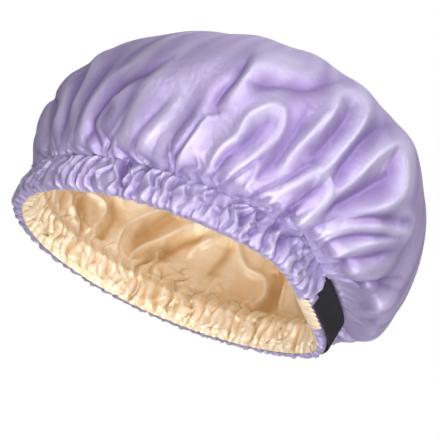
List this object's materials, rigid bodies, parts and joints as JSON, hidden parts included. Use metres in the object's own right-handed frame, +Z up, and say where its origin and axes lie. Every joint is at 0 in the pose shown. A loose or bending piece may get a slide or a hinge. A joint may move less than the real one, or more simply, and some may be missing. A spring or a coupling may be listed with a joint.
{
  "type": "hair bonnet",
  "caption": "Round two-layer satin bonnet gathered into an elastic casing round its opening, with a contrast lining and a stretch of flat elastic exposed at the back of the rim.",
  "frame": {"origin": "under the middle of the bonnet's box, on the plane that the rim rests on", "axes": "+Z up through the crown, out of the opening's back; +X towards the straight back run of the rim, where the black elastic starts; the bonnet's front is -X"},
  "size_m": [0.2294, 0.2204, 0.1375],
  "materials": {
    "outer_satin": "lavender polyester satin, soft lustre",
    "lining_satin": "champagne polyester satin, soft lustre",
    "inner_elastic": "white braided elastic tape, matt",
    "black_elastic": "black woven elastic tape, matt",
    "outer_thread": "lavender sewing thread",
    "lining_thread": "champagne sewing thread",
    "black_thread": "black sewing thread"
  },
  "bodies": {
    "root": {"outer_satin": "outer_satin", "lining_satin": "lining_satin", "casing_elastic": "inner_elastic", "back_elastic": "black_elastic", "casing_needle_thread": "outer_thread", "casing_bobbin_thread": "lining_thread", "rim_seam_thread": "outer_thread", "bar_tack_near": "black_thread", "bar_tack_far": "black_thread"}
  },
  "joints": []
}
